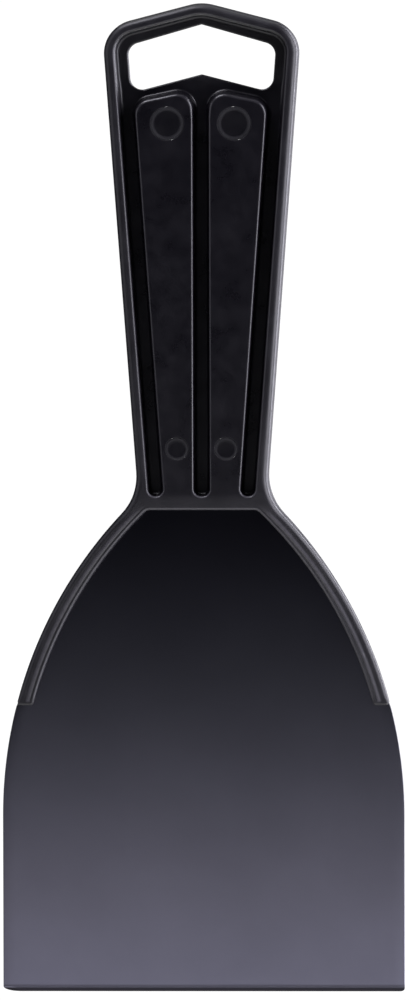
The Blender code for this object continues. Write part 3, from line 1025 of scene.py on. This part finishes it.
def blade_steel(name):
    """Blue-black spring steel, dark on its narrow sides, and on its faces paler towards the edge through a
    painted reflection.
    """
    made, tree, shader = new_material(name)
    coords = add(tree, "ShaderNodeTexCoord").outputs["Object"]
    split = add(tree, "ShaderNodeSeparateXYZ")
    tree.links.new(coords, split.inputs["Vector"])
    # The faces' colour is a painted reflection, pale at the working edge and dark under the band.
    height = spread(tree, split.outputs["Z"], 0.0, 1.0, EDGE_Z, EDGE_Z + BAND_BOTTOM * MM)
    painted_reflection_ramp = add(tree, "ShaderNodeValToRGB")
    tree.links.new(height, painted_reflection_ramp.inputs["Fac"])
    stops = painted_reflection_ramp.color_ramp
    stops.interpolation = "B_SPLINE"
    painted_reflection_tones = (
        (0.0, (0.257, 0.253, 0.322)),
        (0.2, (0.186, 0.182, 0.222)),
        (0.42, (0.101, 0.100, 0.122)),
        (0.62, (0.0495, 0.0500, 0.0595)),
        (0.82, (0.0280, 0.0280, 0.0360)),
        (1.0, (0.0106, 0.0105, 0.0146)),
    )
    for place, tone in painted_reflection_tones[1:-1]:
        stops.elements.new(place).color = (*tone, 1)
    stops.elements[0].color = (*painted_reflection_tones[0][1], 1)
    stops.elements[-1].color = (*painted_reflection_tones[-1][1], 1)
    grind = noise(tree, stretched(tree, coords, (60, 60, 3000)), 1.0, 3.0)
    cloud = noise(tree, coords, 60.0, 4.0)
    toned = add(tree, "ShaderNodeMix", data_type="RGBA", blend_type="MULTIPLY")
    toned.inputs[0].default_value = 1.0
    shade = blend_colours(tree, spread(tree, cloud, 0, 1, 0.3, 0.7), (0.95, 0.95, 0.95), (1.05, 1.05, 1.05))
    tree.links.new(painted_reflection_ramp.outputs["Color"], toned.inputs[6])
    tree.links.new(shade, toned.inputs[7])
    bevel_low, bevel_high = EDGE_Z + 0.6 * MM, EDGE_Z + 1.4 * MM
    ground = spread(tree, split.outputs["Z"], 0.0, 1.0, bevel_low, bevel_high)
    colour = blend_colours(tree, ground, (0.012, 0.0115, 0.0145), toned.outputs[2])
    facing = add(tree, "ShaderNodeSeparateXYZ")
    tree.links.new(add(tree, "ShaderNodeTexCoord").outputs["Normal"], facing.inputs["Vector"])
    sideways = product(tree, facing.outputs["X"], facing.outputs["X"])
    colour = blend_colours(tree, spread(tree, sideways, 0, 1, 0.2, 0.6), colour, (0.03, 0.03, 0.036))
    tree.links.new(colour, shader.inputs["Base Color"])
    shader.inputs["Metallic"].default_value = 1.0
    tree.links.new(spread(tree, grind, 0.285, 0.31, 0.3, 0.7), shader.inputs["Roughness"])
    bump(tree, shader, [(grind, 0.02, 0.00001), (cloud, 0.02, 0.0002)])
    return made


def floor_white():
    made, tree, shader = new_material("floor_white")
    coords = add(tree, "ShaderNodeTexCoord").outputs["Object"]
    shade = noise(tree, coords, 3.0, 2.0)
    colour = blend_colours(tree, shade, (0.930, 0.944, 0.846), (0.950, 0.964, 0.864))
    tree.links.new(colour, shader.inputs["Base Color"])
    shader.inputs["Roughness"].default_value = 0.9
    return made


# ---------------------------------------------------------------- studio

def aimed(made, place, target):
    made.location = place
    made.rotation_euler = (Vector(target) - Vector(place)).to_track_quat("-Z", "Y").to_euler()
    return made


def area_light(name, place, target, size, power, colour=(1.0, 0.985, 1.1)):
    light = bpy.data.lights.new(name, "AREA")
    light.shape = "RECTANGLE"
    light.size, light.size_y = size
    light.energy = power
    light.color = colour
    made = bpy.data.objects.new(name, light)
    made.visible_camera = False
    bpy.context.scene.collection.objects.link(made)
    return aimed(made, place, target)


def studio():
    """A white backdrop that only the camera sees, in a dim room lit by soft panels."""
    world = bpy.data.worlds.new("studio")
    bpy.context.scene.world = world
    world.use_nodes = True
    tree = world.node_tree
    backdrop = tree.nodes["Background"]
    backdrop.inputs["Color"].default_value = (1, 1, 1, 1)
    backdrop.inputs["Strength"].default_value = 1.05
    room = add(tree, "ShaderNodeBackground", Color=(0.9, 0.92, 1.0, 1), Strength=ROOM_LIGHT)
    chosen = add(tree, "ShaderNodeMixShader")
    seen = add(tree, "ShaderNodeLightPath").outputs["Is Camera Ray"]
    tree.links.new(seen, chosen.inputs[0])
    tree.links.new(room.outputs[0], chosen.inputs[1])
    tree.links.new(backdrop.outputs[0], chosen.inputs[2])
    tree.links.new(chosen.outputs[0], tree.nodes["World Output"].inputs["Surface"])
    middle = (0, 0, (EDGE_Z + CAD_BOUNDS[1][2]) / 2)
    area_light("ceiling", (0, 0.3, 1.0), (0, 0.3, 0), (1.2, 1.0), 7.0, (1, 1, 1))
    area_light("key_right", (0.8, -0.25, 0.1), middle, (0.6, 1.0), 20.0)
    area_light("rim_right", (0.65, 0.6, 0.1), middle, (0.5, 1.0), 13.0)
    area_light("key_top", (-0.35, -0.4, 0.85), middle, (0.5, 0.4), 10.5)
    area_light("fill_left", (-0.8, -0.3, 0.1), middle, (0.6, 0.6), 2.0)
    area_light("blade_front", (0, -0.3, EDGE_Z + 0.015), (0, 0, EDGE_Z + 0.015), (0.4, 0.08), 0.05)
    area_light("low_front", (0, -0.2, EDGE_Z - 0.1), (0, 0, EDGE_Z), (0.3, 0.05), 0.1)
    bpy.context.scene.view_settings.view_transform = "Standard"


def floor_piece():
    mesh = bpy.data.meshes.new("floor")
    work = bmesh.new()
    bmesh.ops.create_grid(work, x_segments=8, y_segments=8, size=FLOOR_REACH)
    work.to_mesh(mesh)
    work.free()
    made = piece("floor", mesh, floor_white())
    made.location.z = EDGE_Z - FLOOR_GAP
    return made


def camera():
    low, high = Vector(CAD_BOUNDS[0]), Vector(CAD_BOUNDS[1])
    middle = (low + high) / 2
    data = bpy.data.cameras.new("camera")
    made = bpy.data.objects.new("camera", data)
    bpy.context.scene.collection.objects.link(made)
    flat = math.cos(CAMERA_ELEVATION)
    sideways, ahead = math.sin(CAMERA_AZIMUTH) * flat, -math.cos(CAMERA_AZIMUTH) * flat
    away = Vector((sideways, ahead, math.sin(CAMERA_ELEVATION)))
    aimed(made, middle + away * CAMERA_DISTANCE, middle)
    made.rotation_euler.rotate_axis("Z", CAMERA_ROLL)
    data.lens = data.sensor_width * CAMERA_DISTANCE / CAMERA_FIELD
    data.shift_x, data.shift_y = CAMERA_SHIFT
    data.clip_end = 20
    bpy.context.scene.camera = made


# ---------------------------------------------------------------- assembly

def main():
    shell_plastic = handle_plastic("handle_plastic")
    rod_plastic = pin_plastic("pin_plastic")
    steel = blade_steel("blade_steel")
    halves = (("handle_half_front", "handle_front", -1), ("handle_half_rear", "handle_rear", 1))
    for name, node, side in halves:
        half = piece(name, handle_half_mesh(name, side), shell_plastic)
        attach(half, "handle")
        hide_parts(node)
    for node, x, z, radius in pin_places():
        pin = piece(f"{node}_turned", pin_mesh(node, x, z, radius), rod_plastic)
        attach(pin, "handle")
        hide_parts(node)
    blade = bored(piece("spring_blade", blade_mesh("spring_blade"), steel))
    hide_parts("blade", "blade_tang")
    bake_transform(blade)
    floor_piece()
    camera()
    studio()


main()
